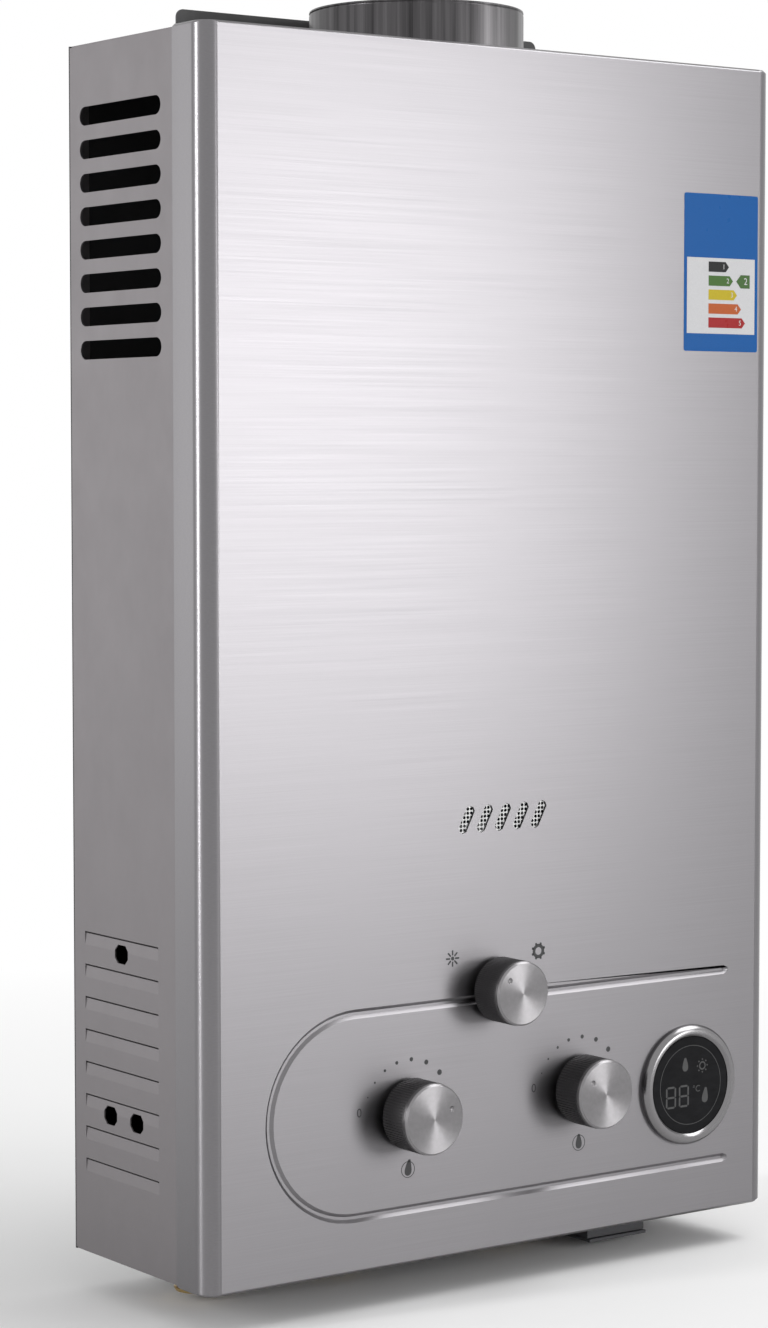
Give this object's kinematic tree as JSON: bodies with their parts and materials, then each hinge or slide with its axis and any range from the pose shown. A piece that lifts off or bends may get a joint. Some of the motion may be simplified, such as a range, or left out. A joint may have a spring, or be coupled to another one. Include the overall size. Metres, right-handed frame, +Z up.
{
  "type": "gas water heater",
  "caption": "Wall-hung instantaneous gas water heater for a caravan or camper, with flue collar, flame window, turning dials, round display and battery box.",
  "frame": {"origin": "centre of the back plate's wall face", "axes": "+X to the right seen from the front, +Y into the wall, +Z up along the casing's height"},
  "size_m": [0.35, 0.142, 0.63],
  "materials": {
    "cover_metal": "satin, brushed from side to side",
    "casing_sheet": "satin",
    "back_sheet": "satin",
    "flue_sheet": "satin",
    "screen_metal": "satin",
    "knob_plastic": "matte",
    "cap_metal": "spun from the centre",
    "bezel_metal": "satin with a bright bevel",
    "lens_glass": "polished",
    "dark_plastic": "matte",
    "screw_steel": "zinc plated",
    "inner_steel": "mill finish",
    "copper": "drawn copper",
    "brass": "cast",
    "zinc_casting": "cast",
    "spindle_steel": "turned",
    "ceramic": "unglazed",
    "rubber": "matte",
    "lead_cover": "matte",
    "cell_jacket": "satin",
    "board": "satin"
  },
  "bodies": {
    "heater": {"back_plate": "back_sheet", "left_side_panel": "casing_sheet", "right_side_panel": "casing_sheet", "top_plate": "casing_sheet", "bottom_plate": "casing_sheet", "front_cover": "cover_metal", "cover_screws": "screw_steel", "flame_window_screen": "screen_metal", "draught_hood": "inner_steel", "flue_collar": "flue_sheet", "combustion_chamber": "inner_steel", "chamber_brackets": "inner_steel", "heat_exchanger": "copper", "heat_exchanger_tube": "copper", "hot_water_pipe": "copper", "cold_water_pipe": "copper", "over_temperature_switch": "dark_plastic", "burner_frame": "inner_steel", "burner_bars": "inner_steel", "gas_manifold": "zinc_casting", "gas_nozzles": "brass", "electrode_bracket": "inner_steel", "electrodes": "ceramic", "ignition_module": "dark_plastic", "module_leads": "lead_cover", "gas_valve": "zinc_casting", "gas_solenoid": "dark_plastic", "season_valve": "zinc_casting", "gas_pipe": "copper", "water_valve": "brass", "water_valve_cover": "brass", "diaphragm": "rubber", "water_valve_screws": "screw_steel", "microswitch": "dark_plastic", "cold_inlet": "brass", "gas_inlet": "brass", "hot_outlet": "brass", "inlet_filter": "screen_metal", "drain_plug": "brass", "battery_box": "dark_plastic", "battery_door_pin": "screw_steel", "batteries": "cell_jacket", "battery_contacts": "screw_steel", "display_bezel": "bezel_metal", "display_lens": "lens_glass", "display_housing": "dark_plastic", "display_board": "board"},
    "gas_control": {"gas_knob": "knob_plastic", "gas_knob_cap": "cap_metal", "gas_spindle": "spindle_steel"},
    "water_control": {"water_knob": "knob_plastic", "water_knob_cap": "cap_metal", "water_spindle": "spindle_steel"},
    "season_control": {"season_knob": "knob_plastic", "season_knob_cap": "cap_metal", "season_spindle": "spindle_steel"},
    "door": {"battery_door": "dark_plastic", "battery_door_contact": "screw_steel"},
    "rod": {"push_rod": "spindle_steel"},
    "lever": {"microswitch_lever": "screw_steel"}
  },
  "joints": [
    {"name": "gas_knob_turn", "type": "hinge", "parent": "heater", "child": "gas_control", "pos_m": [-0.0583, -0.13, -0.2207], "axis": [0, -1, 0], "range_deg": [-17.6, 152]},
    {"name": "water_knob_turn", "type": "hinge", "parent": "heater", "child": "water_control", "pos_m": [0.0483, -0.13, -0.2207], "axis": [0, -1, 0], "range_deg": [-137, 33]},
    {"name": "season_knob_turn", "type": "hinge", "parent": "heater", "child": "season_control", "pos_m": [-0.0045, -0.13, -0.165], "axis": [0, -1, 0], "range_deg": [-107, 0]},
    {"name": "battery_door_swing", "type": "hinge", "parent": "heater", "child": "door", "pos_m": [0.102, -0.0064, -0.3087], "axis": [1, 0, 0], "range_deg": [0, 90]},
    {"name": "push_rod_slide", "type": "slide", "parent": "heater", "child": "rod", "axis": [-1, 0, 0], "range_m": [0, 0.003], "stiffness_N_per_m": 400},
    {"name": "microswitch_lever_turn", "type": "hinge", "parent": "heater", "child": "lever", "pos_m": [-0.0027, -0.065, -0.206], "axis": [0, 1, 0], "range_deg": [0, 17.6]}
  ],
  "couplings": [
    {"joint": "microswitch_lever_turn", "follows": "push_rod_slide", "rad_per_m": 101.8}
  ]
}
